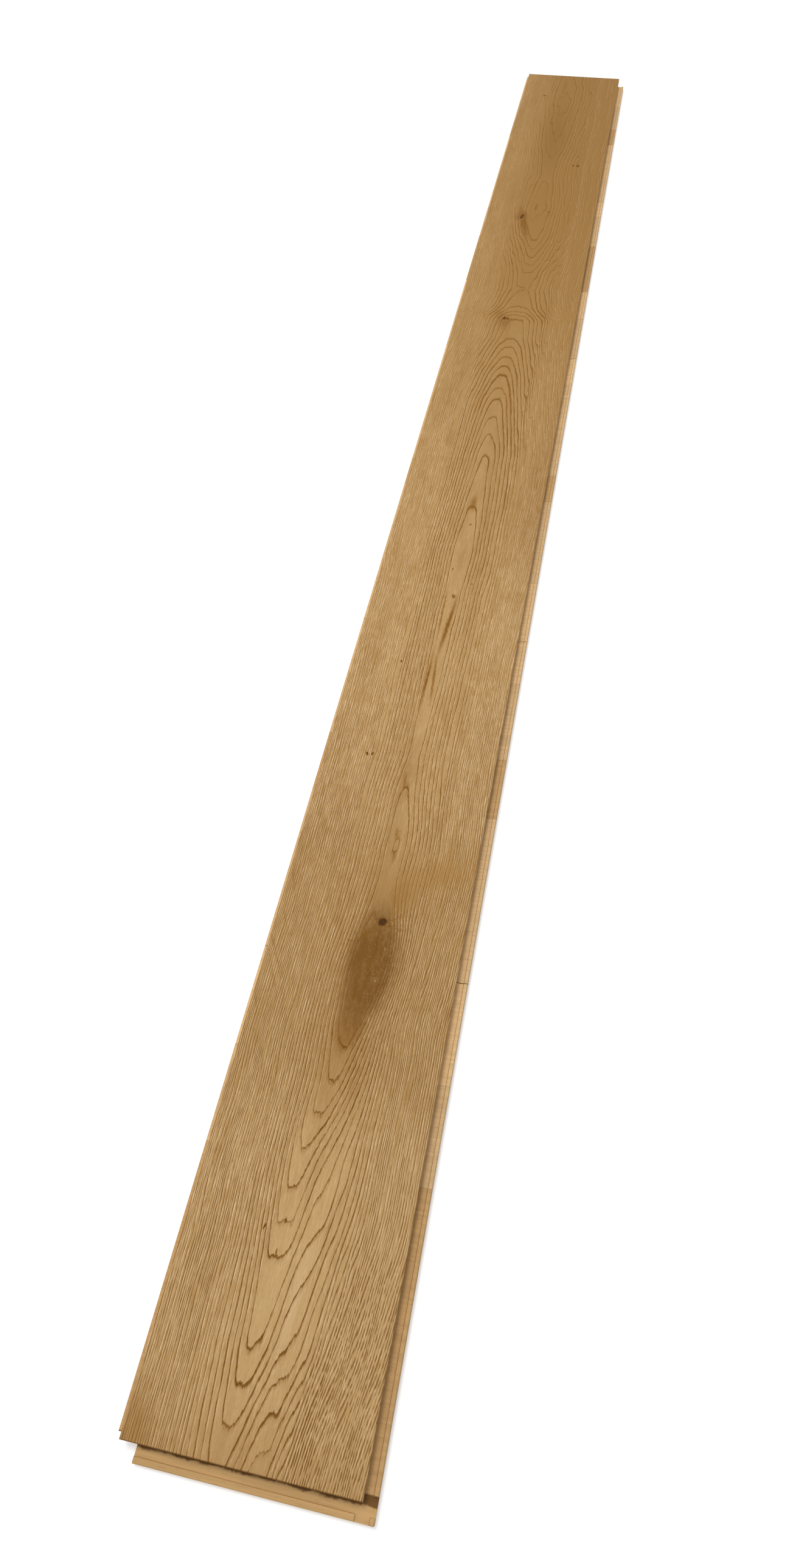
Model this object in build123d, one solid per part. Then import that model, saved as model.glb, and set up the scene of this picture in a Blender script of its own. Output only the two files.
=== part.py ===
from build123d import *
import os

# A click-lock floorboard of three glued layers: an oak face, a core of slats that run across
# the board, and a back veneer. The right-hand long edge and the near end are milled with a
# groove over a lower strip, and the left-hand long edge and the far end with the tongue that
# goes into such a groove.
# Millimetres: X across the board, Y along it, Z up, origin at the middle of the underside.

# Layers, as the face covers the floor
cover_width = 187.0
cover_length = 2420.0
oak_thickness = 3.5
core_thickness = 9.5
veneer_thickness = 2.0
face_bevel = 0.8  # eased edge all round the face

# Groove side
lip_under_oak = 1.8  # core wood left between the oak and the groove
groove_height = 4.3
groove_depth = 4.6
long_strip_reach = 10.9  # how far the lower strip stands out past the oak, long edge
end_strip_reach = 12.7  # and near end
strip_corner_round = 1.0  # where the two strips meet

# Locking lug along the top of each strip
long_lug_setback = 6.6  # from the oak's edge to the foot of the lug
end_lug_setback = 7.7
lug_height = 1.2
lug_slope = 0.5  # run of the lug's inner flank
lug_ease = 0.9  # slope on the lug's outer edge

# Tongue side, cut to fit the neighbour's groove and strip
tongue_play = 0.1  # above and below the tongue
tongue_end_play = 1.0  # between the tongue's nose and the groove's back
tongue_nose = 0.8  # slope above and below the nose
lug_play = 0.2  # round the neighbour's lug
strip_play = 0.3  # past the end of the neighbour's strip
strip_stop_relief = 1.4  # each strip stops this much short of the other side's rebate
tongue_corner_relief = 1.0  # the long tongue stops this much short of the far end

# Core slats: the near one's width from the oak's near edge, then shares of what is left
near_slat_width = 220.0
slat_shares = (8, 9, 5, 12, 7, 10, 6, 9, 14, 5, 8, 11, 6, 10, 7, 13, 9, 5, 8, 12, 6, 9, 10)
slat_joint_gap = 0.2
open_joint_gap = 1.0
open_joints = (3, 8, 14, 19)  # the joints that stand open, counted from the near end

half_width = cover_width / 2
half_length = cover_length / 2
core_top = veneer_thickness + core_thickness
board_top = core_top + oak_thickness
groove_top = core_top - lip_under_oak
strip_top = groove_top - groove_height
lug_top = strip_top + lug_height
tongue_reach = groove_depth - tongue_end_play
tongue_top = groove_top - tongue_play
tongue_bottom = strip_top + tongue_play
channel_top = lug_top + lug_play
long_rebate = long_strip_reach + strip_play
end_rebate = end_strip_reach + strip_play
clear = 5.0  # how far the cutting shapes run past the wood

right, left = Vector(1, 0, 0), Vector(-1, 0, 0)
far, near = Vector(0, 1, 0), Vector(0, -1, 0)
up = Vector(0, 0, 1)


def along_edge(outline, outward, edge_distance, run):
    """Sweep an outline of (distance out from the oak's edge, height) points along one edge."""
    plane = Plane(origin=outward * edge_distance, x_dir=outward, z_dir=outward.cross(up))
    face = plane * make_face(Polyline(*outline, close=True))
    return extrude(face, amount=run / 2 + clear + long_strip_reach + end_strip_reach, both=True)


def groove_cut(outward, edge_distance, run, strip_reach, lug_setback):
    """What is milled away on a groove side: the groove, and all that lies over the strip."""
    outline = [
        (-groove_depth, strip_top),
        (lug_setback, strip_top),
        (lug_setback + lug_slope, lug_top),
        (strip_reach - lug_ease, lug_top),
        (strip_reach, lug_top - lug_ease),
        (strip_reach + clear, lug_top - lug_ease),
        (strip_reach + clear, board_top + clear),
        (0, board_top + clear),
        (0, groove_top),
        (-groove_depth, groove_top),
    ]
    return along_edge(outline, outward, edge_distance, run)


def tongue_cut(outward, edge_distance, run, rebate, lug_setback):
    """What is milled away on a tongue side: over the tongue, past its nose and below it, with
    the channel for the neighbour's lug in the roof of the rebate."""
    channel_start = lug_setback - lug_play
    outline = [
        (0, board_top + clear),
        (0, tongue_top),
        (tongue_reach - tongue_nose, tongue_top),
        (tongue_reach, tongue_top - tongue_nose),
        (tongue_reach, tongue_bottom + tongue_nose),
        (tongue_reach - tongue_nose, tongue_bottom),
        (-channel_start, tongue_bottom),
        (-channel_start - lug_slope, channel_top),
        (-rebate, channel_top),
        (-rebate, -clear),
        (tongue_reach + clear, -clear),
        (tongue_reach + clear, board_top + clear),
    ]
    return along_edge(outline, outward, edge_distance, run)


def block(low, high):
    """A box from its lowest corner to its highest."""
    size = [top - bottom for bottom, top in zip(low, high)]
    return Pos(*low) * Box(*size, align=Align.MIN)


def corner_cuts():
    """The far end of the long strip, the left end of the near strip and the tongues' corner."""
    long_strip_end = block(
        (half_width, half_length - end_rebate - strip_stop_relief, -clear),
        (half_width + long_strip_reach + clear, half_length + clear, board_top),
    )
    near_strip_end = block(
        (-half_width - clear, -half_length - end_strip_reach - clear, -clear),
        (-half_width + long_rebate + strip_stop_relief, -half_length, board_top),
    )
    tongue_corner = block(
        (-half_width - tongue_reach - clear, half_length - tongue_corner_relief, -clear),
        (-half_width, half_length + tongue_reach + clear, board_top),
    )
    return [long_strip_end, near_strip_end, tongue_corner]


def blank(bottom, top):
    """One layer of the glued-up blank, before its edges are milled."""
    low_x, high_x = -half_width - tongue_reach, half_width + long_strip_reach
    low_y, high_y = -half_length - end_strip_reach, half_length + tongue_reach
    layer = block((low_x, low_y, bottom), (high_x, high_y, top))
    strip_corner = layer.edges().filter_by(Axis.Z).sort_by_distance((high_x, low_y, bottom))[0]
    return fillet(strip_corner, strip_corner_round)


def milled_layer(bottom, top):
    """One layer with all four edge profiles milled."""
    layer = blank(bottom, top)
    layer -= groove_cut(right, half_width, cover_length, long_strip_reach, long_lug_setback)
    layer -= groove_cut(near, half_length, cover_width, end_strip_reach, end_lug_setback)
    layer -= tongue_cut(left, half_width, cover_length, long_rebate, long_lug_setback)
    layer -= tongue_cut(far, half_length, cover_width, end_rebate, end_lug_setback)
    for cut in corner_cuts():
        layer -= cut
    return layer


def oak_top_layer():
    """The oak face, eased all round its top."""
    layer = milled_layer(core_top, board_top)
    return chamfer(layer.faces().sort_by(Axis.Z)[-1].edges(), face_bevel)


def slat_joints():
    """Places along Y of the joints between the core slats, from the near end."""
    place = -half_length + near_slat_width
    joints = [place]
    for share in slat_shares[:-1]:
        place += (cover_length - near_slat_width) * share / sum(slat_shares)
        joints.append(place)
    return joints


def core_slats():
    """The milled core, parted at its joints. The end slats run out to the strip and tongue."""
    core = milled_layer(veneer_thickness, core_top)
    outer = half_length + end_strip_reach + clear
    side = half_width + long_strip_reach + clear
    slats = {}
    low = -outer
    for number, joint in enumerate(slat_joints() + [outer], start=1):
        gap = open_joint_gap if number in open_joints else slat_joint_gap
        span = block((-side, low, veneer_thickness), (side, joint - gap / 2, core_top))
        slats[f"core_slat_{number:02d}"] = core & span
        low = joint + gap / 2
    return slats


pieces = {
    "oak_top_layer": oak_top_layer(),
    **core_slats(),
    "back_veneer": milled_layer(0, veneer_thickness),
}

os.makedirs("parts", exist_ok=True)
for node, shape in pieces.items():
    export_step(shape, f"parts/{node}.step")
    size = shape.bounding_box().size
    print(f"{node}: {size.X:.1f} x {size.Y:.1f} x {size.Z:.1f} mm, {shape.volume / 1000:.1f} cm3")
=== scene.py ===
import math

import bpy
import numpy as np
from mathutils import Matrix, Vector, noise


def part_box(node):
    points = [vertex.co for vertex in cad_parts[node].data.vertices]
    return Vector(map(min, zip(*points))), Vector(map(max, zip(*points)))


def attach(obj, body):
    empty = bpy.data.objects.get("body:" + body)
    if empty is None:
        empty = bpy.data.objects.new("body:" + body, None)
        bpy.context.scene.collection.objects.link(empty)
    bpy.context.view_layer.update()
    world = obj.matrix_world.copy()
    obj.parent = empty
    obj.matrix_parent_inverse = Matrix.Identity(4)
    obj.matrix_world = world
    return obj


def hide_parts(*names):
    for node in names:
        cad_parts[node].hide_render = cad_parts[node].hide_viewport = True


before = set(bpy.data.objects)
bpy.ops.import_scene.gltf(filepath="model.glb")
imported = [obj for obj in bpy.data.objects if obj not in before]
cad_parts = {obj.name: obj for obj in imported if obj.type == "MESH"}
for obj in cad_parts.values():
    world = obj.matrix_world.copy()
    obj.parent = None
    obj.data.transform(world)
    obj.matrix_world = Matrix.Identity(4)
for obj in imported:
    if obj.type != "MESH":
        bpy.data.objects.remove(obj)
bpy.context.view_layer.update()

scene = bpy.context.scene
oakLow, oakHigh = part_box("oak_top_layer")
edgeX, edgeY = oakHigh.x, oakHigh.y  # the oak's half width and half length


def deselectAll():
    for thing in bpy.context.selected_objects:
        thing.select_set(False)


def makeActive(piece):
    deselectAll()
    piece.select_set(True)
    bpy.context.view_layer.objects.active = piece


# The growth rings, read off the face. Places are in millimetres from its left edge and near end.
# How many rings deep the middle line is cut, along the board:
ringDepth = [
    (-30, 18), (0, 17), (28, 16), (55, 15), (80, 14), (145, 13), (170, 12), (197, 11), (230, 10),
    (260, 9), (290, 8), (322, 7), (345, 6.5), (400, 6.3), (435, 6.6), (455, 7.05), (500, 7.2),
    (523, 7.03), (537, 6.86), (557, 7.03), (575, 7.3), (615, 8), (650, 8.7), (905, 9), (980, 8.3),
    (1065, 9), (1175, 10), (1217, 11), (1260, 12), (1302, 13), (1327, 14), (1362, 15), (1384, 16),
    (1410, 17), (1435, 18), (1455, 19), (1512, 20), (1522, 21), (1532, 22), (1545, 23), (1600, 24),
    (1655, 23), (1680, 22), (1705, 21), (1735, 20), (1765, 19), (1805, 18), (1870, 17.4), (1940, 18),
    (1990, 18.6), (2065, 18), (2110, 17), (2240, 16), (2295, 15.7), (2350, 16), (2450, 17),
]
# How the rings spread sideways from that line: where along, where the line lies across, then on its
# left and on its right the half width of the plain middle, the ring spacing and how far out the rings
# crowd, and how round the arches are
sideGrain = [
    (-30, 76, 4, 5.0, 34, 5, 5.2, 48, 4), (10, 77, 3, 4.9, 34, 4, 5.2, 48, 5),
    (30, 78, 2, 4.8, 34, 3, 5.2, 48, 5), (55, 80, 2, 4.5, 36, 3, 5.0, 50, 5),
    (80, 82, 3, 4.4, 37, 4, 5.0, 52, 3), (110, 82, 3, 4.15, 38, 5, 5.0, 56, 3),
    (150, 83, 6, 3.55, 38, 7, 4.8, 60, 3), (175, 83, 4, 3.4, 38, 4, 5.1, 62, 4),
    (200, 81, 1, 3.05, 38, 1, 5.5, 62, 7), (230, 82, 0, 2.9, 38, 0, 5.2, 60, 8),
    (260, 87, 3, 2.96, 40, 3, 4.4, 56, 6), (290, 93, 1, 3.2, 46, 1, 3.6, 50, 9),
    (322, 95, 0, 3.0, 50, 0, 3.0, 48, 13), (345, 97, 4, 2.88, 52, 4, 2.35, 46, 10),
    (400, 101, 12, 2.85, 56, 14, 2.04, 46, 4), (440, 103, 10, 3.15, 56, 12, 2.22, 46, 4),
    (480, 101, 3, 3.4, 54, 2, 3.4, 46, 8), (520, 101, 1, 3.47, 54, 1, 3.8, 46, 8),
    (560, 101, 1, 3.47, 54, 1, 3.7, 48, 8), (600, 96, 0, 3.29, 52, 0, 4.2, 50, 9),
    (700, 97, 4, 3.87, 52, 5, 4.3, 52, 2), (880, 98, 10, 3.53, 54, 8, 4.2, 52, 2),
    (1000, 97, 5, 3.55, 56, 5, 4.4, 54, 5), (1075, 97, 2, 3.5, 58, 2, 4.9, 56, 9),
    (1180, 97, 1, 3.7, 60, 1, 4.9, 60, 11), (1300, 94, 1, 4.4, 60, 1, 4.6, 60, 14),
    (1400, 94, 0, 5.2, 60, 0, 5.2, 60, 17), (1530, 93, 6, 5.6, 60, 8, 6.0, 60, 14),
    (1700, 95, 0, 6, 60, 0, 6, 60, 12), (1870, 86, 4, 6, 60, 4, 6, 60, 8),
    (2100, 86, 0, 6, 60, 0, 6, 60, 12), (2450, 85, 6, 6, 60, 6, 6, 60, 10),
]
crowdedSpacing = [
    (-30, 2.0), (300, 2.05), (600, 2.15), (800, 2.3), (1000, 2.7), (1200, 3.2), (1500, 4.0), (2450, 4.5),
]
# rings left out to the right of the middle, near the end
nearShelf = [(-30, 1.8), (60, 2.1), (170, 1.9), (215, 1.3), (260, 0.4), (290, 0), (2450, 0)]

# how the rings run between those rows
ringFlow = {
    "blur": 4.0, "sideBlur": 12.0, "spacingBlur": 20.0, "shelfBlur": 10.0,  # how softly rows are joined
    "shelf": (99, 119),  # where the near shelf starts and ends, across
    "crowdEase": 20,  # the width over which the rings start to crowd
    "tilt": 0.016, "tiltReach": 9, "tiltEnd": (400, 600),  # the near arches sit lower on their left
    "bands": 0.9, "bandSize": (6.5, 420.0), "bandsFrom": (30, 45),  # where rings bunch up and spread
    "loose": 0.22, "looseSides": 0.4, "sidesFrom": (30, 55), "looseFar": 0.6, "farFrom": (1550, 1750),
    "wobble": 0.75, "wobbleSize": (15.0, 90.0), "ripple": 0.45, "rippleSize": (6.0, 42.0),
}

# how the brush follows the rings
brush = {
    "amount": 0.7, "centre": 0.6, "centreLimits": (0.03, 0.25), "breadth": 1.6,
    "steep": (0.28, 0.42),  # past this slope the mesh is too coarse for each ring
    "worn": 0.62, "wornChange": 0.38, "wornSize": (5.0, 60.0),
    "knot": (103, 451), "knotSize": (6.0, 8.0),  # the hollow of the large knot
    "stain": (101, 405), "stainSize": (22, 60), "stainCalm": 0.7,
}

oakFace = {
    "bevel": 0.0008, "bevelSteps": 3, "smoothAngle": 35,
    "cellsAcross": 204, "cellsAlong": 440,
    "brushDepth": 0.0001,  # how far the soft rings are brushed out
    # the pale ridge colour serves the pale fibres and marks, and the painted highlight beside the ring lines
    "latewood": (0.520, 0.317, 0.128), "paleWood": (0.660, 0.433, 0.200), "paleFibreAndHighlight": (0.92, 0.68, 0.40),
    "earlywood": (0.200, 0.078, 0.009), "fringeWood": (0.34, 0.165, 0.035),
    "brownWood": (0.33, 0.165, 0.045), "stainWood": (0.225, 0.093, 0.013), "darkMark": (0.105, 0.040, 0.007),
    # far wood: the far end's brown, partly painted shade, and the warm tone round the stain
    "knotWood": (0.100, 0.044, 0.014), "goldWood": (0.400, 0.205, 0.052), "farBrownAndShade": (0.355, 0.188, 0.053),
    "lineGold": (0.265, 0.118, 0.018), "markGold": (0.290, 0.128, 0.020),
    "roughness": 0.6, "lineRoughness": 0.2, "reliefDepth": 0.00035,
}


def smoothCurve(points, at, blur):
    # straight runs between the points, then eased over a few millimetres
    spots = np.arange(points[0][0], points[-1][0] + 1.0, 1.0)
    values = np.interp(spots, [p[0] for p in points], [p[1] for p in points])
    reach = np.arange(-3 * blur, 3 * blur + 1)
    weight = np.exp(-0.5 * (reach / blur) ** 2)
    padded = np.pad(values, len(reach) // 2, mode="edge")
    return np.interp(at, spots, np.convolve(padded, weight / weight.sum(), mode="valid"))


def ramp(values, start, end):
    return np.clip((values - start) / (end - start), 0, 1)


def noiseAt(x, y, size, seed):
    places = zip((x / size[0]).tolist(), (y / size[1]).tolist())
    return np.array([noise.noise(Vector((u, v, seed))) for u, v in places])


def ringCount(x, y):
    # the number of the growth ring at a place on the face
    flow = ringFlow
    columns = [smoothCurve([(row[0], row[c]) for row in sideGrain], y, flow["sideBlur"]) for c in range(1, 9)]
    aside = x - columns[0]
    out, onRight = np.abs(aside), aside > 0
    plain, spacing, reach = (np.where(onRight, columns[c + 3], columns[c]) for c in (1, 2, 3))
    arch = columns[7]
    beyond = np.maximum(out - plain, 0)
    rings = smoothCurve(ringDepth, y, flow["blur"]) + (np.hypot(beyond, arch) - arch) / spacing
    leaning = np.clip(aside, -flow["tiltReach"], flow["tiltReach"])
    rings += flow["tilt"] * leaning * (1 - ramp(y, *flow["tiltEnd"]))
    start = flow["crowdEase"]
    crowded = np.clip(out - reach + start / 2, 0, None)
    crowded = np.where(crowded < start, crowded ** 2 / (2 * start), crowded - start / 2)
    rings += crowded * (1 / smoothCurve(crowdedSpacing, y, flow["spacingBlur"]) - 1 / spacing)
    step = ramp(x, *flow["shelf"])
    rings -= smoothCurve(nearShelf, y, flow["shelfBlur"]) * step * step * (3 - 2 * step)
    rings += flow["bands"] * ramp(out, *flow["bandsFrom"]) * noiseAt(x, y, flow["bandSize"], 5.5)
    loose = flow["loose"] + flow["looseSides"] * ramp(out, *flow["sidesFrom"])
    loose += flow["looseFar"] * ramp(y, *flow["farFrom"])
    wobble = flow["wobble"] * noiseAt(x, y, flow["wobbleSize"], 3.7)
    return rings + loose * (wobble + flow["ripple"] * noiseAt(x, y, flow["rippleSize"], 8.1))


def ringSlopes(x, y):
    # how fast the ring number changes, a millimetre: across, and along
    across = ringCount(x + 0.5, y) - ringCount(x - 0.5, y)
    along = (ringCount(x, y + 3.0) - ringCount(x, y - 3.0)) / 6.0
    return across, along


def brushedRelief(x, y, rings, slope):
    # 0 on the hard wood to 1 where the brush has taken most away
    part = rings - np.floor(rings)
    centre = np.clip(brush["centre"] * slope, *brush["centreLimits"])
    soft = np.exp(-((part - centre) / (brush["breadth"] * centre)) ** 2)
    soft *= 1 - ramp(slope, *brush["steep"])
    worn = brush["worn"] + brush["wornChange"] * noiseAt(x, y, brush["wornSize"], 12.3)
    knotX, knotY = ((p - c) / s for p, c, s in zip((x, y), brush["knot"], brush["knotSize"]))
    stainX, stainY = ((p - c) / s for p, c, s in zip((x, y), brush["stain"], brush["stainSize"]))
    calm = 1.0 - brush["stainCalm"] * np.exp(-(stainX ** 2 + stainY ** 4))
    return np.clip(soft * worn * calm * brush["amount"] + np.exp(-(knotX ** 2 + knotY ** 2)), 0, 1)


def shapeOakFace():
    # a fine grid for the face, then its eased edge, the sides and the glued underside
    size, steps = oakFace["bevel"], oakFace["bevelSteps"]
    deselectAll()
    bpy.ops.mesh.primitive_grid_add(
        x_subdivisions=oakFace["cellsAcross"], y_subdivisions=oakFace["cellsAlong"], size=1)
    face = bpy.context.object
    face.name = "oak_face"
    makeActive(face)
    face.scale = (2 * (edgeX - size), 2 * (edgeY - size), 1)
    face.location.z = oakHigh.z
    bpy.ops.object.transform_apply(location=True, rotation=True, scale=True)
    bpy.ops.object.mode_set(mode="EDIT")
    bpy.ops.mesh.select_mode(type="EDGE")
    bpy.ops.mesh.select_all(action="SELECT")
    bpy.ops.mesh.region_to_loop()
    before, drop = size, 0.0
    for step in range(1, steps + 1):
        turn = math.pi / 2 * step / steps
        inset, lower = size * (1 - math.sin(turn)), size * (1 - math.cos(turn))
        bpy.ops.mesh.extrude_region_move(TRANSFORM_OT_translate={"value": (0, 0, drop - lower)})
        grow = ((edgeX - inset) / (edgeX - before), (edgeY - inset) / (edgeY - before), 1)
        bpy.ops.transform.resize(value=grow, center_override=(0, 0, 0))
        before, drop = inset, lower
    bpy.ops.mesh.extrude_region_move(
        TRANSFORM_OT_translate={"value": (0, 0, oakLow.z - oakHigh.z + size)})
    bpy.ops.mesh.edge_face_add()
    bpy.ops.mesh.select_all(action="SELECT")
    bpy.ops.mesh.normals_make_consistent(inside=False)
    bpy.ops.object.mode_set(mode="OBJECT")
    return face


def brushOakFace(face):
    # ring numbers on the mesh, which the relief and the finish both read
    places = np.empty(len(face.data.vertices) * 3)
    face.data.vertices.foreach_get("co", places)
    places = places.reshape(-1, 3)
    x, y = (places[:, 0] + edgeX) * 1000, (places[:, 1] + edgeY) * 1000
    rings = ringCount(x, y)
    lean, climb = ringSlopes(x, y)
    for name, values in (("rings", rings), ("lean", lean), ("climb", climb)):
        layer = face.data.attributes.new(name, "FLOAT", "POINT")
        layer.data.foreach_set("value", values.astype(np.float32))
    onTop = places[:, 2] > oakHigh.z - 1e-6
    relief = np.where(onTop, brushedRelief(x, y, rings, np.hypot(lean, climb)), 0)
    brushed = face.vertex_groups.new(name="brushed")
    for place in np.flatnonzero(relief > 0.004).tolist():
        brushed.add([place], float(relief[place]), "REPLACE")
    brushing = face.modifiers.new("brushing", "DISPLACE")
    brushing.direction, brushing.mid_level = "Z", 0.0
    brushing.strength, brushing.vertex_group = -oakFace["brushDepth"], "brushed"
    makeActive(face)
    bpy.ops.object.modifier_apply(modifier="brushing")


def makeOakFace():
    face = shapeOakFace()
    brushOakFace(face)
    bpy.ops.object.shade_smooth_by_angle(angle=math.radians(oakFace["smoothAngle"]))
    face.data.materials.append(oakFinish())
    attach(face, "root")
    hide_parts("oak_top_layer")
    print("oak face:", len(face.data.polygons), "faces")


# Short ways to place and join shader nodes

def feed(tree, socket, value):
    # a node's output is joined, a plain value is set
    if isinstance(value, bpy.types.NodeSocket):
        tree.links.new(value, socket)
    elif socket.type == "RGBA":
        socket.default_value = (*value, 1)
    else:
        socket.default_value = value


def addNode(tree, kind, inputs=None, **settings):
    made = tree.nodes.new(kind)
    for name, value in settings.items():
        setattr(made, name, value)
    for name, value in (inputs or {}).items():
        feed(tree, made.inputs[name], value)
    return made


def maths(tree, operation, *values, clamp=False):
    made = addNode(tree, "ShaderNodeMath", dict(enumerate(values)), operation=operation, use_clamp=clamp)
    return made.outputs[0]


def times(tree, first, second, clamp=False):
    return maths(tree, "MULTIPLY", first, second, clamp=clamp)


def timesPlus(tree, value, factor, base):
    return maths(tree, "MULTIPLY_ADD", value, factor, base)


def vectorMaths(tree, operation, first, second):
    return addNode(tree, "ShaderNodeVectorMath", {0: first, 1: second}, operation=operation).outputs[0]


def ease(tree, value, start, end, low=0.0, high=1.0):
    inputs = {"Value": value, "From Min": start, "From Max": end, "To Min": low, "To Max": high}
    return addNode(tree, "ShaderNodeMapRange", inputs, interpolation_type="SMOOTHSTEP").outputs[0]


def blend(tree, share, first, second):
    return addNode(tree, "ShaderNodeMix", {0: share, 6: first, 7: second}, data_type="RGBA").outputs[2]


def splitPlace(tree, place):
    return addNode(tree, "ShaderNodeSeparateXYZ", {0: place}).outputs


def joinPlace(tree, x, y, z=0.0):
    return addNode(tree, "ShaderNodeCombineXYZ", {0: x, 1: y, 2: z}).outputs[0]


def stretched(tree, place, scale, shift=(0, 0, 0)):
    return addNode(tree, "ShaderNodeMapping", {"Vector": place, "Location": shift, "Scale": scale}).outputs[0]


def noiseNode(tree, place, scale, detail=2.0, shift=(0, 0, 0), rough=0.5):
    spot = stretched(tree, place, scale, shift)
    inputs = {"Vector": spot, "Scale": 1.0, "Detail": detail, "Roughness": rough}
    return addNode(tree, "ShaderNodeTexNoise", inputs)


def noiseValue(tree, place, *shape):
    return noiseNode(tree, place, *shape).outputs["Fac"]


def newGroup(name, inputs, outputs):
    tree = bpy.data.node_groups.new(name, "ShaderNodeTree")
    for label, kind, value in inputs:
        socket = tree.interface.new_socket(label, in_out="INPUT", socket_type=kind)
        if value is not None:
            socket.default_value = value
    for label, kind in outputs:
        tree.interface.new_socket(label, in_out="OUTPUT", socket_type=kind)
    return tree, tree.nodes.new("NodeGroupInput").outputs, tree.nodes.new("NodeGroupOutput").inputs


def useGroup(tree, name, inputs):
    return addNode(tree, "ShaderNodeGroup", inputs, node_tree=bpy.data.node_groups[name]).outputs


def newMaterial(name, roughness, shine=0.06):
    material = bpy.data.materials.new(name)
    material.use_nodes = True
    tree = material.node_tree
    shader = tree.nodes["Principled BSDF"]
    shader.inputs["Roughness"].default_value = roughness
    shader.inputs["Specular IOR Level"].default_value = shine
    return material, tree, shader


def placeInMillimetres(tree):
    # Object coordinates, in millimetres from the face's left edge and near end
    coords = tree.nodes.new("ShaderNodeTexCoord").outputs["Object"]
    return stretched(tree, coords, (1000, 1000, 1000), (edgeX * 1000, edgeY * 1000, 0))


def addRelief(tree, shader, height, strength, distance):
    bump = addNode(tree, "ShaderNodeBump", {"Strength": strength, "Distance": distance, "Height": height})
    tree.links.new(bump.outputs[0], shader.inputs["Normal"])


def makePoresGroup():
    # short dark vessels along the grain, which runs along Y
    tree, given, out = newGroup(
        "woodPores",
        [("Place", "NodeSocketVector", None), ("Width", "NodeSocketFloat", 0.35),
         ("Length", "NodeSocketFloat", 5.0), ("Share", "NodeSocketFloat", 0.4)],
        [("Pores", "NodeSocketFloat")])
    split = splitPlace(tree, given["Place"])
    across = maths(tree, "DIVIDE", split[0], given["Width"])
    along = maths(tree, "DIVIDE", split[1], given["Length"])
    spot = joinPlace(tree, across, along, split[2])
    speck = addNode(tree, "ShaderNodeTexNoise", {"Vector": spot, "Scale": 1.0, "Detail": 1.0}).outputs["Fac"]
    level = maths(tree, "SUBTRACT", 0.78, times(tree, given["Share"], 0.4))
    rise = maths(tree, "DIVIDE", maths(tree, "SUBTRACT", speck, level), 0.07, clamp=True)
    tree.links.new(rise, out["Pores"])


def makeMarkGroup():
    # an oval patch: 1 inside, fading out at its edge
    tree, given, out = newGroup(
        "woodMark",
        [("Place", "NodeSocketVector", None), ("Centre", "NodeSocketVector", None),
         ("Turn", "NodeSocketVector", None), ("Size", "NodeSocketVector", None),
         ("Softness", "NodeSocketFloat", 0.5)],
        [("Mask", "NodeSocketFloat")])
    inputs = {"Vector": given["Place"], "Location": given["Centre"], "Rotation": given["Turn"],
              "Scale": given["Size"]}
    local = addNode(tree, "ShaderNodeMapping", inputs, vector_type="TEXTURE").outputs[0]
    split = splitPlace(tree, local)
    flat = joinPlace(tree, split[0], split[1])
    far = addNode(tree, "ShaderNodeVectorMath", {0: flat}, operation="LENGTH").outputs["Value"]
    inner = maths(tree, "SUBTRACT", 1.0, given["Softness"])
    outer = maths(tree, "ADD", 1.0, given["Softness"])
    tree.links.new(ease(tree, far, inner, outer, 1.0, 0.0), out["Mask"])


# each noise: its scale across, along and up, then its detail, shift and roughness
ringNoise = {
    "ragged": ((0.5, 0.045, 1), 3.0, (0, 0, 0), 0.68),
    "waves": ((0.35, 0.06, 1), 3.0, (7, 3, 0), 0.62),
}
# how a ring is drawn; four numbers are from where, to where, the value before and the value after
ringLook = {
    "fraying": (0.22, 0.42, 9.5, 4.0), "leastWaver": 0.03, "rowGap": 7.31,
    "dashes": (0.38, 0.54), "dashSwell": (0.3, 0.7, 0.75, 1.2),
    "strength": 0.85, "strengthChange": 0.3, "width": 0.75, "widthChange": 0.5,
    "leastLean": 0.02, "climbWidth": 3.4, "rise": 0.3, "core": 0.45,
    "haloLean": 1.1, "haloClimb": 7.0, "haloLeast": 0.02, "haloMost": 0.5,
    "ridgeHighlightGap": 0.16, "ridgeHighlightBefore": 0.86, "ridgeHighlightWidth": 0.55, "ridgeHighlightLeast": 0.01, "ridgeHighlightMost": 0.24,
    "ridgeHighlightLean": (0.08, 0.4, 0.15, 1.0),
}


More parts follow.
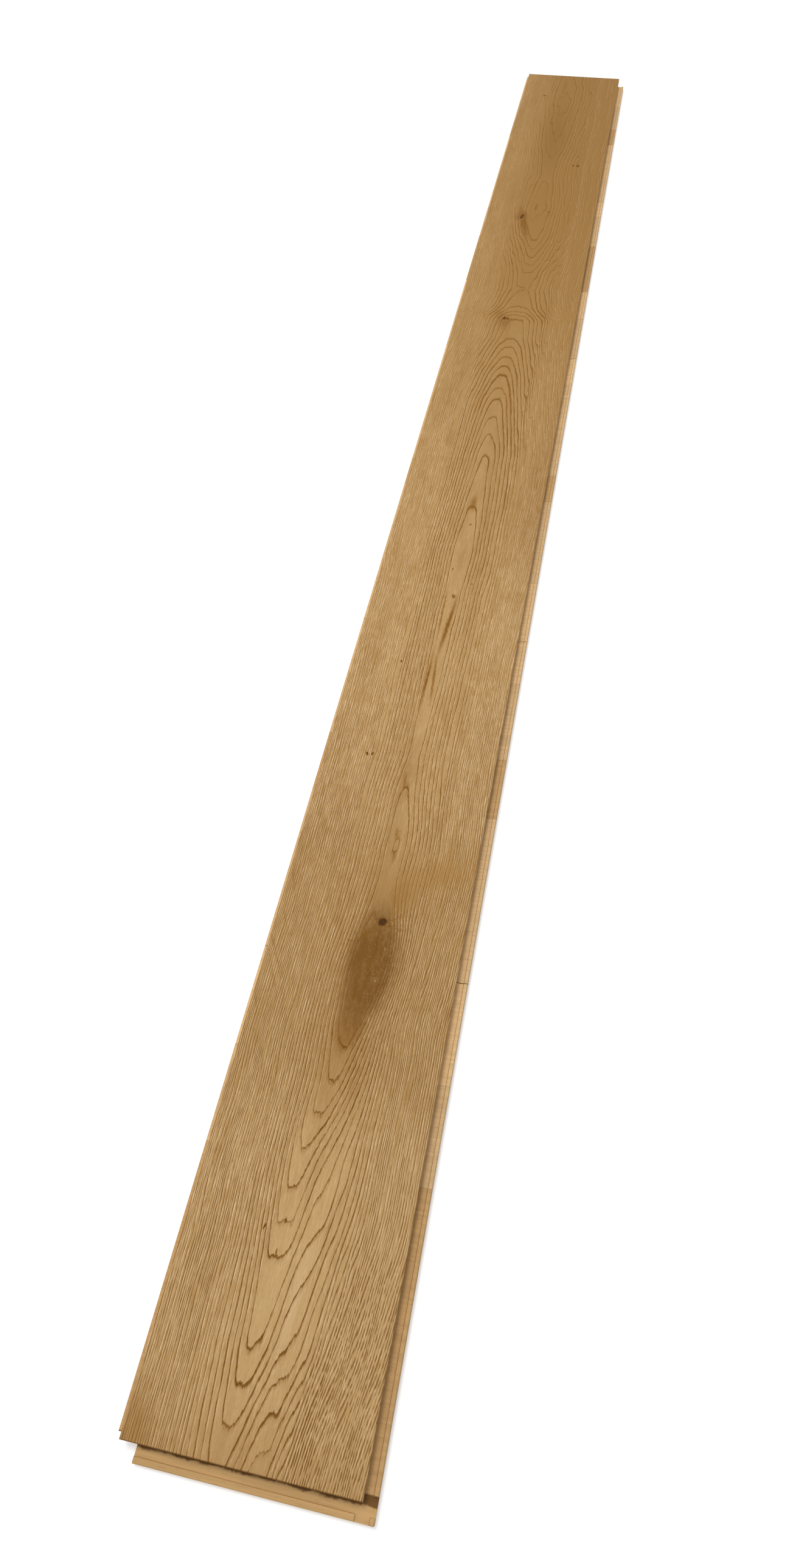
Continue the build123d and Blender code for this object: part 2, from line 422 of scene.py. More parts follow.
def makeRingsGroup():
    # from the ring number: where the open-pored soft wood lies, and the pale ridge beside it, which carries a
    # painted highlight
    tree, given, out = newGroup(
        "growthRings",
        [("Place", "NodeSocketVector", None), ("Rings", "NodeSocketFloat", 0.0),
         ("Lean", "NodeSocketFloat", 0.2), ("Climb", "NodeSocketFloat", 0.0),
         ("Dash Length", "NodeSocketFloat", 14.0), ("Line Width", "NodeSocketFloat", 0.8),
         ("Broken", "NodeSocketFloat", 0.5), ("Waver", "NodeSocketFloat", 0.8)],
        [("Line", "NodeSocketFloat"), ("Fringe", "NodeSocketFloat"), ("Ridge Highlight", "NodeSocketFloat")])
    look = ringLook
    lean = maths(tree, "ABSOLUTE", given["Lean"])
    climb = maths(tree, "ABSOLUTE", given["Climb"])
    # the vessels run along the board, so a ring that is cut flat frays lengthwise
    ragged = maths(tree, "SUBTRACT", noiseValue(tree, given["Place"], *ringNoise["ragged"]), 0.5)
    waves = maths(tree, "SUBTRACT", noiseValue(tree, given["Place"], *ringNoise["waves"]), 0.5)
    frayed = times(tree, climb, ease(tree, lean, *look["fraying"]))
    moved = timesPlus(tree, ragged, frayed, given["Rings"])
    moved = timesPlus(tree, waves, timesPlus(tree, lean, given["Waver"], look["leastWaver"]), moved)
    part = maths(tree, "FRACT", moved)
    number = maths(tree, "FLOOR", moved)
    chance = addNode(tree, "ShaderNodeTexWhiteNoise", {"W": number}, noise_dimensions="1D").outputs["Value"]
    # broken into dashes along each ring, which also swell and thin out
    along = maths(tree, "DIVIDE", splitPlace(tree, given["Place"])[1], given["Dash Length"])
    spot = joinPlace(tree, times(tree, number, look["rowGap"]), along)
    dash = addNode(tree, "ShaderNodeTexNoise", {"Vector": spot, "Scale": 1.0, "Detail": 1.0}).outputs["Fac"]
    strength = ease(tree, dash, *look["dashes"], maths(tree, "SUBTRACT", 1.0, given["Broken"]), 1.0)
    uneven = timesPlus(tree, chance, look["strengthChange"], look["strength"])
    strength = times(tree, strength, uneven, clamp=True)
    width = times(tree, given["Line Width"], timesPlus(tree, chance, look["widthChange"], look["width"]))
    width = times(tree, width, ease(tree, dash, *look["dashSwell"]))
    slant = timesPlus(tree, climb, look["climbWidth"], maths(tree, "MAXIMUM", lean, look["leastLean"]))
    width = times(tree, width, slant)
    rise = ease(tree, part, 0.0, times(tree, width, look["rise"]))
    core = ease(tree, part, times(tree, width, look["core"]), width, 1.0, 0.0)
    tree.links.new(times(tree, times(tree, rise, core), strength), out["Line"])
    halo = timesPlus(tree, lean, look["haloLean"], look["haloLeast"])
    halo = timesPlus(tree, climb, look["haloClimb"], halo)
    fringe = ease(tree, part, 0.0, maths(tree, "MINIMUM", halo, look["haloMost"]), 1.0, 0.0)
    tree.links.new(times(tree, times(tree, fringe, rise), strength), out["Fringe"])
    # the ridge is partly paler wood and partly a painted highlight: it lies to the right of its line on both
    # sides of the middle, where a light from the left catches the groove's wall
    side = ease(tree, given["Lean"], -0.06, 0.06)
    rightOf = maths(tree, "SUBTRACT", part, maths(tree, "ADD", width, look["ridgeHighlightGap"]))
    leftOf = maths(tree, "SUBTRACT", part, look["ridgeHighlightBefore"])
    away = addNode(tree, "ShaderNodeMix", {0: side, 2: leftOf, 3: rightOf}).outputs[0]
    away = maths(tree, "ABSOLUTE", away)
    ridgeHighlightWidth = timesPlus(tree, lean, look["ridgeHighlightWidth"], look["ridgeHighlightLeast"])
    ridgeHighlight = ease(tree, away, 0.0, maths(tree, "MINIMUM", ridgeHighlightWidth, look["ridgeHighlightMost"]), 1.0, 0.0)
    ridgeHighlight = times(tree, ridgeHighlight, ease(tree, lean, *look["ridgeHighlightLean"]))
    tree.links.new(times(tree, ridgeHighlight, timesPlus(tree, strength, 0.5, 0.5)), out["Ridge Highlight"])


# Knots, stains and marks read off the face: across, along, half width, half length, turn, softness, strength
stainMarks = [
    (104, 404, 26, 54, -2, 0.45, 0.95), (98, 350, 14, 30, -4, 0.6, 0.85), (104, 455, 17, 13, 20, 0.7, 0.6),
    (121, 414, 8, 38, 0, 0.8, 0.6), (104, 468, 13, 8, 0, 0.9, 0.4),
    (103, 398, 30, 84, -2, 0.8, 0.3), (113, 478, 10, 18, -8, 0.9, 0.3),
    (90, 430, 7, 12, -20, 0.7, 0.95), (67, 1812, 6, 44, 12, 0.7, 0.9), (62, 1832, 9, 16, 0, 0.7, 0.8),
    (76, 1505, 9, 20, 10, 0.8, 0.6), (42, 1205, 5, 16, 0, 0.8, 0.35), (84, 2150, 22, 110, 0, 0.9, 0.35),
    (96, 600, 9, 60, 0, 0.9, 0.2), (2, 10, 14, 22, 0, 0.9, 0.3), (185, 1080, 34, 130, 0, 0.9, 0.25),
]
goldMarks = [
    (118, 486, 12, 24, -10, 0.8, 0.6), (155, 515, 42, 15, 24, 0.9, 0.5), (5, 12, 16, 26, 0, 0.9, 0.4),
]
paleMarks = [(105, 112, 3.5, 34, -4, 0.9, 0.2)]
knotMarks = [
    (105, 452, 4.2, 4.9, -30, 0.45, 1.0), (105, 425, 0.5, 20, 2, 0.6, 0.6), (62, 1832, 2.8, 9, -14, 0.5, 0.9),
]
# narrow ones; the faint ones come out golden, the strong ones dark
darkMarks = [
    (92, 437, 2.0, 9, -42, 0.8, 0.5), (91.3, 765, 1.5, 38, 0, 0.7, 0.6), (90.5, 868, 1.1, 40, 1, 0.7, 0.52),
    (98.6, 768, 1.3, 34, 4, 0.7, 0.55), (100.5, 852, 2.4, 42, -4, 0.7, 0.62),
    (96.5, 1074, 3.6, 13, 0, 0.8, 0.5), (94, 620, 1.8, 9, 0, 0.8, 0.45),
    (98.5, 555, 1.8, 6, 0, 0.8, 0.4), (101, 526, 1.8, 6, 0, 0.8, 0.4),
    (102.5, 388, 0.5, 17, -6, 0.6, 0.7), (112, 449, 6, 0.6, 12, 0.6, 0.6), (118, 458, 8, 0.6, 24, 0.6, 0.45),
    (122, 447, 8, 0.6, -4, 0.6, 0.4), (79, 427, 6, 0.7, 4, 0.6, 0.5),
    (8, 405, 0.9, 20, 27, 0.8, 0.3), (17, 372, 0.8, 14, 25, 0.8, 0.25), (4, 352, 0.8, 16, 20, 0.8, 0.25),
    (7, 480, 0.8, 12, 20, 0.8, 0.25), (9, 440, 0.8, 10, 22, 0.8, 0.25),
    (67, 163, 0.9, 2.2, 0, 0.4, 0.85), (83, 171, 1.2, 2.2, 0, 0.4, 0.7), (82, 145, 1.0, 3.0, 0, 0.4, 0.6),
    (46, 648, 1.6, 2.2, 0, 0.4, 0.85), (52, 650, 1.3, 2.0, 0, 0.4, 0.75), (56, 786, 1.0, 3.2, 0, 0.4, 1.0),
    (99, 1033, 1.4, 1.5, 0, 0.5, 0.6), (90, 947, 0.7, 3.5, 0, 0.5, 0.6), (118, 926, 1.6, 1.2, 0, 0.5, 0.5),
    (76, 1513, 2.6, 3.4, 0, 0.5, 0.95), (81, 1513, 2.0, 2.8, 0, 0.5, 0.85),
    (66, 1815, 1.5, 14, 18, 0.6, 0.6), (106, 1855, 2.2, 3.0, 0, 0.5, 0.6),
    (131, 2031, 2.2, 3.5, 0, 0.5, 0.75), (140, 2031, 2.6, 4.0, 0, 0.5, 0.85),
    (44, 2320, 2.6, 3.5, 0, 0.5, 0.7),
]
calmPatch = [(102, 408, 22, 66, 0, 0.35, 1.0)]  # the inside of the stain, where the rings fade
curlPatch = [(113, 405, 14, 48, 0, 0.5, 1.0)]  # where its fibres curl
middleLine = 97.0

# how the finish changes along the board: from where, to where, its value before and its value after
alongBoard = {
    "boldness": (650.0, 1900.0, 1.0, 0.5), "lineBoldness": (1250.0, 1850.0, 1.0, 0.62),
    "archFade": (550.0, 1000.0, 0.2, 0.85), "choppy": (140.0, 310.0, 1.0, 0.1),
    "nearWidth": (60.0, 360.0, 0.84, 0.62), "farWidth": (550.0, 1250.0, 0.0, 0.9),
    "wideRings": (160.0, 300.0, 0.38, 0.08), "soaked": (0.0, 55.0, 0.3, 0.0),
    "far": (650.0, 1950.0, 0.0, 1.0),
    "warmFrom": (230.0, 330.0, 0.0, 0.5), "warmTo": (480.0, 620.0, 1.0, 0.0),
    "goldLines": (450.0, 900.0, 0.0, 0.75),
    "carved": (200.0, 480.0, -0.9, -0.55), "ridgeHeight": (200.0, 480.0, 0.35, 0.22),
}
# and across it, from the left edge, or outwards from the middle line
acrossBoard = {"choppy": (115.0, 145.0, 0.0, 1.0), "far": (-10.0, 90.0, 0.55, 1.0)}
offMiddle = {"arches": (38.0, 56.0, 0.0, 1.0), "mottle": (25.0, 55.0, 0.1, 0.5)}
# and with the slope of the rings, in rings a millimetre
onSlope = {
    "crowded": (0.22, 0.4, 0.0, 1.0), "steep": (0.12, 0.32, 0.0, 1.0), "poreRows": (0.1, 0.22, 0.0, 0.55),
    "carved": (0.15, 0.35, 0.6, 0.8),
}

# the lines at a place: plain ones, then what crowded and choppy ones add
ringLines = {
    "dash": 30.0, "crowdedDash": -12.0, "choppyDash": -11.0, "crowdedWidth": -0.06, "choppyWidth": 0.14,
    "broken": 0.3, "crowdedBroken": 0.32, "choppyBroken": 0.1, "waver": 0.85, "crowdedWaver": -0.55,
    "choppyRidgeHighlight": -0.4, "stainedLine": -0.7, "flow": 3.2,
}
openPores = {"Width": 0.42, "Length": 5.0, "Share": 0.5}
rowPores = {"Width": 0.3, "Length": 11.0, "Share": 0.6}

# what each noise brings in: from where, to where, the share before and the share after
shares = {
    "linePatch": (0.3, 0.6, 0.75, 1.0), "ridgeHighlightStreaks": (0.3, 0.7, 0.35, 1.15),
    "ridgeHighlightFibres": (0.62, 0.4, 0.35, 1.15), "paleStreaks": (0.3, 0.75, 0.0, 0.7),
    "brownBroad": (0.4, 0.75, 0.0, 0.4), "brownPatch": (0.5, 0.75, 0.0, 0.4),
    "palePatch": (0.2, 0.48, 0.45, 0.0), "darkGrain": (0.35, 0.7, 0.0, 1.0),
    "darkFibres": (0.5, 0.68, 0.0, 1.0), "paleFibres": (0.5, 0.32, 0.0, 1.0),
    "golden": (0.48, 0.66, 0.0, 1.0), "tangles": (0.34, 0.6, 0.55, 1.0), "soaked": (0.38, 0.6, 0.86, 1.2),
    "curlLine": (0.0, 0.022, 1.0, 0.0), "curlGap": (0.44, 0.54, 0.0, 1.0),
    "darkMark": (0.45, 0.95, 0.0, 1.0), "darkKnot": (0.45, 0.9, 0.0, 1.0), "oiledEnd": (0.35, 1.1, 0.75, 0.0),
}
# and how strongly a few colours lie over the wood
cover = {
    "ridgeHighlight": 0.9, "fringe": 0.6, "line": 0.97, "stain": 0.95, "curl": 0.4, "mark": 1.6, "choppyPale": 0.3,
}
# the fine relief, up from the hard wood
heights = {"openPores": -0.5, "fine": 0.35, "fibre": -0.6, "knots": -1.5, "tangled": 2.6, "curl": 0.6}

oakNoise = {
    "patch": ((0.07, 0.012, 1), 2.0, (3, 9, 0), 0.5),
    "streaks": ((0.8, 0.018, 1), 3.0, (1, 5, 0), 0.6),
    "fine": ((2.4, 0.09, 1), 2.0, (4, 1, 0), 0.6),
    "broad": ((0.03, 0.004, 1), 2.0, (11, 2, 0), 0.5),
    "fibre": ((1.5, 0.05, 1), 3.0, (8, 2, 0), 0.7),
    "mottle": ((0.11, 0.03, 1), 4.0, (6, 8, 0), 0.7),
    "soaking": ((0.2, 0.03, 1), 3.0, (9, 4, 0), 0.65),
    "curls": ((0.3, 0.22, 1), 1.0, (5, 5, 0), 0.5),
    "curlGaps": ((0.2, 0.2, 1), 1.0, (0, 0, 0), 0.5),
}
frayNoise = ((0.55, 0.16, 1), 4.0, (0, 0, 0), 0.6)
frayReach = (13.0, 26.0, 0)  # how far the stains' edges fray, across and along
knotFray = 0.36  # the knots' share of it
tangledNoise = ((0.7, 0.16, 1), 4.0, (2, 6, 0), 0.7)


def addMarks(tree, place, marks):
    total = None
    for x, y, halfWidth, halfLength, turn, softness, strength in marks:
        mask = useGroup(tree, "woodMark", {
            "Place": place, "Centre": (x, y, 0), "Turn": (0, 0, math.radians(turn)),
            "Size": (halfWidth, halfLength, 1), "Softness": softness})["Mask"]
        mask = times(tree, mask, strength)
        total = mask if total is None else maths(tree, "MAXIMUM", total, mask)
    return total


def readOak(tree):
    # the places, rings and noises that the steps of the oak's finish share
    place = placeInMillimetres(tree)
    split = splitPlace(tree, place)
    oak = {"place": place, "across": split[0], "along": split[1]}
    for name in ("rings", "lean", "climb"):
        oak[name] = addNode(tree, "ShaderNodeAttribute", attribute_name=name).outputs["Fac"]
    for name, shape in oakNoise.items():
        oak[name] = noiseValue(tree, place, *shape)
    oak["slope"] = maths(tree, "ABSOLUTE", oak["lean"])
    oak["offMiddle"] = maths(tree, "ABSOLUTE", maths(tree, "SUBTRACT", oak["across"], middleLine))
    # the pattern is bold at the near end and calm at the far one
    oak["boldness"] = ease(tree, oak["along"], *alongBoard["boldness"])
    oak["calm"] = addMarks(tree, place, calmPatch)
    return oak


def drawRings(tree, oak):
    along, boldness, lines = oak["along"], oak["boldness"], ringLines
    crowded = ease(tree, oak["slope"], *onSlope["crowded"])
    archShare = times(tree, ease(tree, oak["offMiddle"], *offMiddle["arches"]),
                      ease(tree, along, *alongBoard["archFade"]))
    lineBoldness = times(tree, ease(tree, along, *alongBoard["lineBoldness"]),
                         maths(tree, "SUBTRACT", 1.0, archShare))
    # short dashes on the right, near the end
    choppy = times(tree, ease(tree, oak["across"], *acrossBoard["choppy"]),
                   ease(tree, along, *alongBoard["choppy"]))
    lineWidth = maths(tree, "ADD", ease(tree, along, *alongBoard["nearWidth"]),
                      ease(tree, along, *alongBoard["farWidth"]))
    lineWidth = timesPlus(tree, crowded, lines["crowdedWidth"], lineWidth)
    dash = timesPlus(tree, crowded, lines["crowdedDash"], lines["dash"])
    broken = timesPlus(tree, crowded, lines["crowdedBroken"], lines["broken"])
    grain = useGroup(tree, "growthRings", {
        "Place": oak["place"], "Rings": oak["rings"], "Lean": oak["lean"], "Climb": oak["climb"],
        "Dash Length": timesPlus(tree, choppy, lines["choppyDash"], dash),
        "Line Width": timesPlus(tree, choppy, lines["choppyWidth"], lineWidth),
        "Broken": timesPlus(tree, choppy, lines["choppyBroken"], broken),
        "Waver": timesPlus(tree, crowded, lines["crowdedWaver"], lines["waver"])})
    line = times(tree, grain["Line"], ease(tree, oak["patch"], *shares["linePatch"]))
    line = times(tree, line, lineBoldness)
    oak["line"] = times(tree, line, timesPlus(tree, oak["calm"], lines["stainedLine"], 1.0))
    oak["fringe"] = times(tree, grain["Fringe"], lineBoldness)
    # the ridge's painted highlight, streaked and fibred, bold at the near end
    ridgeHighlight = times(tree, grain["Ridge Highlight"], ease(tree, oak["streaks"], *shares["ridgeHighlightStreaks"]))
    ridgeHighlight = times(tree, ridgeHighlight, times(tree, boldness, ease(tree, oak["fibre"], *shares["ridgeHighlightFibres"])))
    oak["ridgeHighlight"] = times(tree, ridgeHighlight, timesPlus(tree, choppy, lines["choppyRidgeHighlight"], 1.0))
    oak["choppy"] = choppy
    # pores that follow the rings where they run steep, in short rows
    flow = joinPlace(tree, times(tree, oak["rings"], lines["flow"]), along)
    rows = useGroup(tree, "woodPores", {"Place": flow, **rowPores})["Pores"]
    rows = times(tree, rows, ease(tree, oak["slope"], *onSlope["poreRows"]))
    oak["poreRows"] = times(tree, rows, boldness)
    # and the open ones, most of them in the soft wood
    pores = useGroup(tree, "woodPores", {"Place": oak["place"], **openPores})["Pores"]
    pores = times(tree, pores, timesPlus(tree, oak["fringe"], 0.8, 0.14), clamp=True)
    oak["openPores"] = times(tree, pores, boldness)


def plainWood(tree, oak):
    # the wood between the rings, with its fibres
    boldness, along = oak["boldness"], oak["along"]
    pale, brown = oakFace["paleWood"], oakFace["brownWood"]
    body = blend(tree, ease(tree, oak["streaks"], *shares["paleStreaks"]), oakFace["latewood"], pale)
    body = blend(tree, ease(tree, oak["broad"], *shares["brownBroad"]), body, brown)
    body = blend(tree, ease(tree, oak["patch"], *shares["brownPatch"]), body, brown)
    body = blend(tree, ease(tree, oak["patch"], *shares["palePatch"]), body, pale)
    grainDark = ease(tree, oak["fine"], *shares["darkGrain"])
    grainDark = times(tree, grainDark, timesPlus(tree, boldness, 0.22, 0.05))
    body = blend(tree, grainDark, body, brown)
    steep = ease(tree, oak["slope"], *onSlope["steep"])
    fibreShare = times(tree, timesPlus(tree, boldness, 0.42, 0.05), timesPlus(tree, steep, 0.45, 0.55))
    darkFibres = times(tree, ease(tree, oak["fibre"], *shares["darkFibres"]), fibreShare)
    body = blend(tree, darkFibres, body, brown)
    paleFibres = times(tree, ease(tree, oak["fibre"], *shares["paleFibres"]), fibreShare)
    body = blend(tree, paleFibres, body, oakFace["paleFibreAndHighlight"])
    body = blend(tree, oak["poreRows"], body, oakFace["fringeWood"])
    # golden mottling at the sides, and the pale wood of the wide rings
    mottle = times(tree, ease(tree, oak["mottle"], *shares["golden"]),
                   ease(tree, oak["offMiddle"], *offMiddle["mottle"]))
    body = blend(tree, mottle, body, oakFace["goldWood"])
    wide = times(tree, ease(tree, along, *alongBoard["wideRings"]), maths(tree, "SUBTRACT", 1.0, steep))
    wide = maths(tree, "MAXIMUM", wide, times(tree, oak["choppy"], cover["choppyPale"]))
    body = blend(tree, wide, body, pale)
    body = blend(tree, addMarks(tree, oak["place"], paleMarks), body, oakFace["paleFibreAndHighlight"])
    body = blend(tree, ease(tree, along, *alongBoard["soaked"]), body, brown)
    # browner at the far end, partly the wood's own tone and partly painted shade where the light falls off
    # along the board, and browner around the stain
    farToneAndShade = times(tree, ease(tree, along, *alongBoard["far"]),
                     ease(tree, oak["across"], *acrossBoard["far"]))
    warm = times(tree, ease(tree, along, *alongBoard["warmFrom"]),
                 ease(tree, along, *alongBoard["warmTo"]))
    return blend(tree, maths(tree, "MAXIMUM", farToneAndShade, warm, clamp=True), body, oakFace["farBrownAndShade"])


def colourRings(tree, oak, body):
    # painted highlight on the ridge beside each ring line
    body = blend(tree, times(tree, oak["ridgeHighlight"], cover["ridgeHighlight"]), body, oakFace["paleFibreAndHighlight"])
    body = blend(tree, times(tree, oak["fringe"], cover["fringe"]), body, oakFace["fringeWood"])
    lineWood = blend(tree, ease(tree, oak["along"], *alongBoard["goldLines"]),
                     oakFace["earlywood"], oakFace["lineGold"])
    body = blend(tree, times(tree, oak["line"], cover["line"]), body, lineWood)
    return blend(tree, oak["openPores"], body, oakFace["earlywood"])


def colourKnots(tree, oak, body):
    # knots and stains, with frayed edges and tangled fibres inside
    place = oak["place"]
    fray = noiseNode(tree, place, *frayNoise).outputs["Color"]
    fray = vectorMaths(tree, "SUBTRACT", fray, (0.5, 0.5, 0.5))
    frayed = vectorMaths(tree, "ADD", place, vectorMaths(tree, "MULTIPLY", fray, frayReach))
    ragged = addNode(tree, "ShaderNodeMix", {0: knotFray, 4: place, 5: frayed}, data_type="VECTOR").outputs[1]
    knots = addMarks(tree, ragged, knotMarks)
    dark = maths(tree, "MAXIMUM", knots, addMarks(tree, ragged, darkMarks))
    tangled = noiseValue(tree, frayed, *tangledNoise)
    fibres = times(tree, ease(tree, tangled, *shares["tangles"]),
                   ease(tree, oak["soaking"], *shares["soaked"]), clamp=True)
    stained = blend(tree, cover["stain"], body, oakFace["stainWood"])
    body = blend(tree, addMarks(tree, frayed, goldMarks), body, oakFace["goldWood"])
    body = blend(tree, times(tree, addMarks(tree, frayed, stainMarks), fibres), body, stained)
    curl = maths(tree, "ABSOLUTE", maths(tree, "SUBTRACT", oak["curls"], 0.5))
    curl = times(tree, ease(tree, curl, *shares["curlLine"]), addMarks(tree, place, curlPatch))
    curl = times(tree, curl, ease(tree, oak["curlGaps"], *shares["curlGap"]))
    body = blend(tree, times(tree, curl, cover["curl"]), body, oakFace["paleWood"])
    body = blend(tree, times(tree, dark, cover["mark"], clamp=True), body, oakFace["markGold"])
    body = blend(tree, ease(tree, dark, *shares["darkMark"]), body, oakFace["darkMark"])
    oak["knots"], oak["tangled"], oak["curl"] = knots, tangled, curl
    return blend(tree, ease(tree, knots, *shares["darkKnot"]), body, oakFace["knotWood"])


def oakHeight(tree, oak):
    # the relief that is too fine for the mesh
    boldness = oak["boldness"]
    carved = times(tree, ease(tree, oak["along"], *alongBoard["carved"]), oak["line"])
    height = timesPlus(tree, carved, ease(tree, oak["slope"], *onSlope["carved"]), 1.0)
    height = timesPlus(tree, oak["openPores"], heights["openPores"], height)
    height = timesPlus(tree, oak["ridgeHighlight"], ease(tree, oak["along"], *alongBoard["ridgeHeight"]), height)
    height = timesPlus(tree, oak["fine"], times(tree, boldness, heights["fine"]), height)
    height = timesPlus(tree, oak["fibre"], times(tree, boldness, heights["fibre"]), height)
    height = timesPlus(tree, oak["knots"], heights["knots"], height)
    height = timesPlus(tree, times(tree, oak["tangled"], oak["calm"]), heights["tangled"], height)
    return timesPlus(tree, oak["curl"], heights["curl"], height)


def oakFinish():
    material, tree, shader = newMaterial("brushed oiled oak", oakFace["roughness"])
    oak = readOak(tree)
    drawRings(tree, oak)
    body = colourRings(tree, oak, plainWood(tree, oak))
    body = colourKnots(tree, oak, body)
    # the ends soak up more oil
    fromMiddle = maths(tree, "ABSOLUTE", maths(tree, "SUBTRACT", oak["along"], edgeY * 1000))
    endGap = maths(tree, "SUBTRACT", edgeY * 1000, fromMiddle)
    body = blend(tree, ease(tree, endGap, *shares["oiledEnd"]), body, oakFace["earlywood"])
    tree.links.new(body, shader.inputs["Base Color"])
    addRelief(tree, shader, oakHeight(tree, oak), 1.0, oakFace["reliefDepth"])
    rough = timesPlus(tree, oak["line"], oakFace["lineRoughness"], oakFace["roughness"])
    tree.links.new(rough, shader.inputs["Roughness"])
    return material


coreWood = {
    "pale": (0.79, 0.53, 0.265), "tan": (0.60, 0.370, 0.158), "endGrain": (0.36, 0.20, 0.085),
    # torn wood: the dark at the groove's mouth, torn fibres and painted shade of the recess
    "tornAndShadedWood": (0.150, 0.068, 0.018), "tanSlats": (1, 6, 11, 17, 22),
    "darkStreak": 0.82, "paleStreak": 1.15, "shadeChange": 0.07,
    "streakNoise": ((0.35, 0.012, 0.35), 3.0), "fineNoise": ((1.6, 0.05, 1.6), 2.0),
    "grooveMouthNoise": ((0.07, 0.07, 0.2), 4.0, (2, 2, 0), 0.65),
    "roughness": 0.72, "reliefStrength": 0.6, "reliefDepth": 0.0002,
}


def slatFinish(number, colour, shift):
    # core wood with its grain across the board
    material, tree, shader = newMaterial(f"core slat wood {number:02d}", coreWood["roughness"])
    place = placeInMillimetres(tree)
    split = splitPlace(tree, place)
    turned = joinPlace(tree, split[1], split[0], split[2])
    turned = stretched(tree, turned, (1, 1, 1), (shift, shift * 0.37, 0))
    streaks = noiseValue(tree, turned, *coreWood["streakNoise"])
    fine = noiseValue(tree, turned, *coreWood["fineNoise"])
    pores = useGroup(tree, "woodPores", {"Place": turned, "Width": 0.6, "Length": 9.0, "Share": 0.3})["Pores"]
    darker = tuple(coreWood["darkStreak"] * c for c in colour)
    paler = tuple(min(1, coreWood["paleStreak"] * c) for c in colour)
    body = blend(tree, ease(tree, streaks, 0.3, 0.7), darker, colour)
    body = blend(tree, times(tree, fine, 0.3), body, paler)
    body = blend(tree, times(tree, pores, 0.35), body, coreWood["endGrain"])
    # dark at the mouth of the near groove: painted shade in the recess under the oak's edge, with torn fibres
    outside = times(tree, split[1], -1.0)
    grooveMouthEdge = noiseValue(tree, place, *coreWood["grooveMouthNoise"])
    tornAndShaded = ease(tree, timesPlus(tree, grooveMouthEdge, -9.0, outside), -3.6, -1.6, 0.92, 0.0)
    tornAndShaded = times(tree, tornAndShaded, ease(tree, outside, -6.0, -4.6))
    body = blend(tree, tornAndShaded, body, coreWood["tornAndShadedWood"])
    # sawn end grain on the long edges
    aside = splitPlace(tree, addNode(tree, "ShaderNodeNewGeometry").outputs["True Normal"])[0]
    endWood = ease(tree, maths(tree, "ABSOLUTE", aside), 0.5, 0.9, 0.0, 0.6)
    body = blend(tree, endWood, body, coreWood["endGrain"])
    tree.links.new(body, shader.inputs["Base Color"])
    height = timesPlus(tree, pores, -0.5, fine)
    addRelief(tree, shader, height, coreWood["reliefStrength"], coreWood["reliefDepth"])
    return material


veneerWood = {
    "colour": (0.52, 0.36, 0.19), "dark": (0.33, 0.19, 0.085),
    "streakNoise": ((0.12, 0.004, 0.12), 3.0), "fineNoise": ((1.2, 0.03, 1.2), 2.0),
    "roughness": 0.75, "reliefStrength": 0.6, "reliefDepth": 0.0002,
}


def veneerFinish():
    # a peeled sheet with its grain along the board
    material, tree, shader = newMaterial("back veneer", veneerWood["roughness"])
    place = placeInMillimetres(tree)
    streaks = noiseValue(tree, place, *veneerWood["streakNoise"])
    fine = noiseValue(tree, place, *veneerWood["fineNoise"])
    pores = useGroup(tree, "woodPores", {"Place": place, "Width": 0.5, "Length": 16.0, "Share": 0.5})["Pores"]
    body = blend(tree, ease(tree, streaks, 0.35, 0.7), veneerWood["colour"], veneerWood["dark"])
    body = blend(tree, times(tree, ease(tree, fine, 0.35, 0.65), 0.6), body, veneerWood["colour"])
    body = blend(tree, times(tree, pores, 0.6), body, veneerWood["dark"])
    tree.links.new(body, shader.inputs["Base Color"])
    height = timesPlus(tree, pores, -0.5, fine)
    addRelief(tree, shader, height, veneerWood["reliefStrength"], veneerWood["reliefDepth"])
    return material


def finishCore():
    slats = sorted(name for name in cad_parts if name.startswith("core_slat"))
    for number, name in enumerate(slats, start=1):
        colour = coreWood["tan"] if number in coreWood["tanSlats"] else coreWood["pale"]
        shade = 1.0 + coreWood["shadeChange"] * math.sin(number * 2.4)
        colour = tuple(shade * c for c in colour)
        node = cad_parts[name]
        node.data.materials.clear()
        node.data.materials.append(slatFinish(number, colour, 37.0 * number))
    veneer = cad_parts["back_veneer"]
    veneer.data.materials.clear()
    veneer.data.materials.append(veneerFinish())
    print("core and veneer finished:", len(slats), "slats")


studio = {
    "keyPower": 74.0, "keyFrom": (-1.15, 0.1, 4.0), "keySize": 1.4,
    "sidePower": 20.0, "sideFrom": (-3.0, -1.2, 1.9), "sideSize": 2.0,
    "ambient": 0.52, "floorColour": (0.86, 0.86, 0.855), "floorGlow": 0.35,
    "floorSize": 24, "floorDrop": 0.0003,
}

# where the photograph was taken from, in the board's own frame
viewpoint = {
    "place": (0.12800, -1.15747, 0.88106), "right": (0.97888, 0.2028, -0.026),
    "up": (-0.15463, 0.81748, 0.55481), "forward": (-0.13377, 0.53907, -0.83157),
    "sensor": 36.0, "lens": 22.188, "nearest": 0.02, "farthest": 40,
}


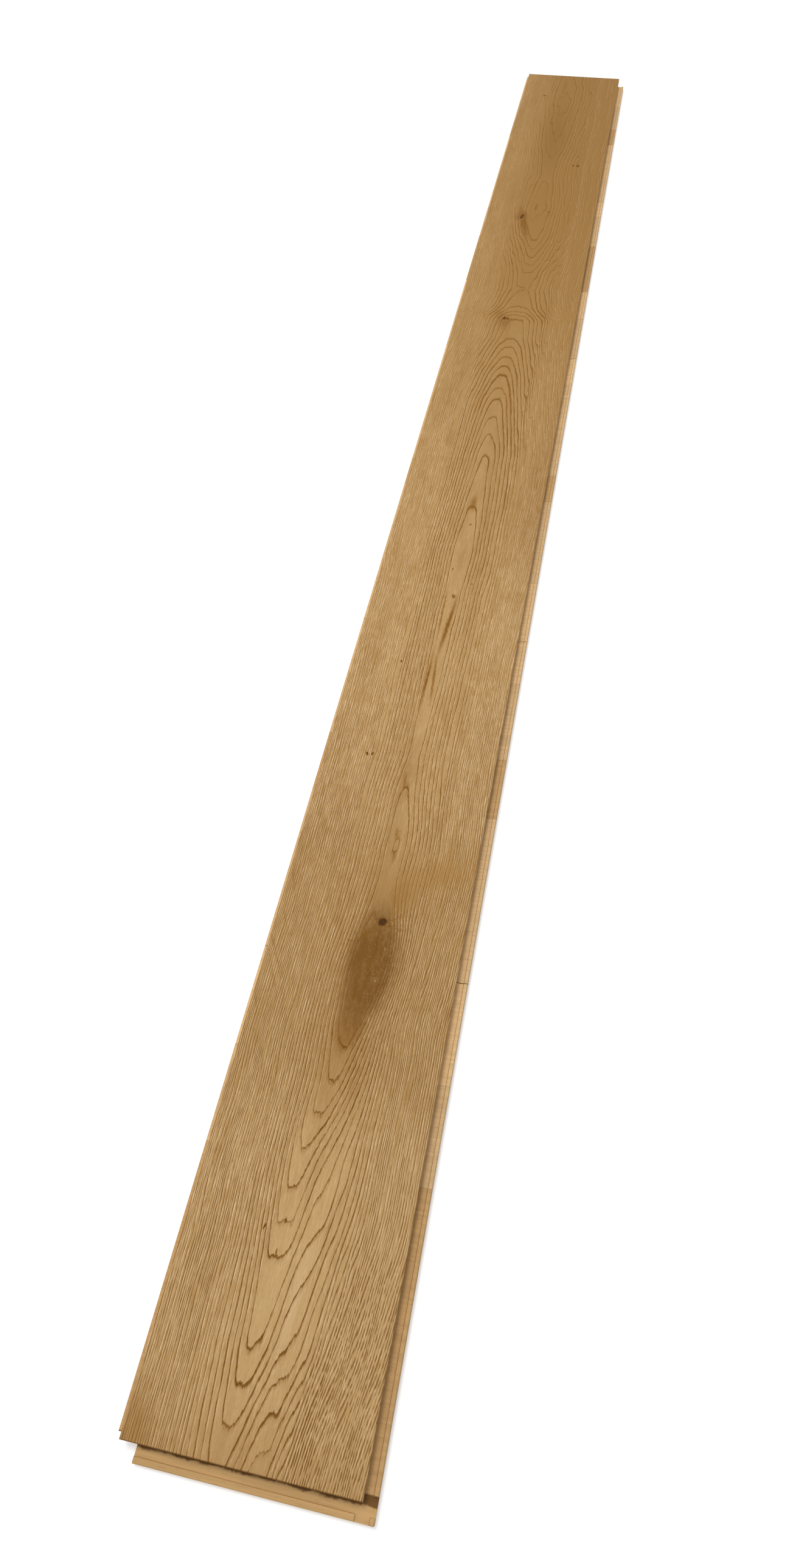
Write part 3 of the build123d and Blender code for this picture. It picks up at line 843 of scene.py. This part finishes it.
def seenDirectly(tree):
    # 1 for the camera and for what is seen in a shine or through glass
    path = tree.nodes.new("ShaderNodeLightPath").outputs
    mirrored = maths(tree, "MAXIMUM", path["Is Glossy Ray"], path["Is Transmission Ray"])
    return maths(tree, "MAXIMUM", path["Is Camera Ray"], mirrored)


def makeFloor():
    deselectAll()
    bpy.ops.mesh.primitive_plane_add(size=studio["floorSize"], location=(0, 0, -studio["floorDrop"]))
    floor = bpy.context.object
    floor.name = "floor"
    material, tree, shader = newMaterial("pale floor", 0.9, 0.0)
    feed(tree, shader.inputs["Base Color"], studio["floorColour"])
    feed(tree, shader.inputs["Emission Color"], (1, 1, 1))
    feed(tree, shader.inputs["Emission Strength"], times(tree, seenDirectly(tree), studio["floorGlow"]))
    floor.data.materials.append(material)


def makeLamp(name, power, origin, size):
    light = bpy.data.lights.new(name, "AREA")
    light.energy, light.size = power, size
    lamp = bpy.data.objects.new(name, light)
    scene.collection.objects.link(lamp)
    lamp.location = origin
    lamp.rotation_euler = (-Vector(origin)).to_track_quat("-Z", "Y").to_euler()


def makeStudio():
    makeFloor()
    makeLamp("key", studio["keyPower"], studio["keyFrom"], studio["keySize"])
    makeLamp("side", studio["sidePower"], studio["sideFrom"], studio["sideSize"])
    scene.world = bpy.data.worlds.new("studio")
    scene.world.use_nodes = True
    tree = scene.world.node_tree
    background = tree.nodes["Background"]
    feed(tree, background.inputs["Color"], (1, 1, 1))
    glow = maths(tree, "MAXIMUM", seenDirectly(tree), studio["ambient"])
    feed(tree, background.inputs["Strength"], glow)
    print("studio lit")


def makeCamera():
    lens = bpy.data.cameras.new("camera")
    lens.sensor_width, lens.lens = viewpoint["sensor"], viewpoint["lens"]
    lens.clip_start, lens.clip_end = viewpoint["nearest"], viewpoint["farthest"]
    camera = bpy.data.objects.new("camera", lens)
    scene.collection.objects.link(camera)
    back = [-c for c in viewpoint["forward"]]
    turned = Matrix((viewpoint["right"], viewpoint["up"], back)).transposed()
    camera.matrix_world = Matrix.Translation(viewpoint["place"]) @ turned.to_4x4()
    scene.camera = camera


makePoresGroup()
makeMarkGroup()
makeRingsGroup()
makeOakFace()
finishCore()
makeStudio()
makeCamera()
scene.view_settings.view_transform = "Standard"
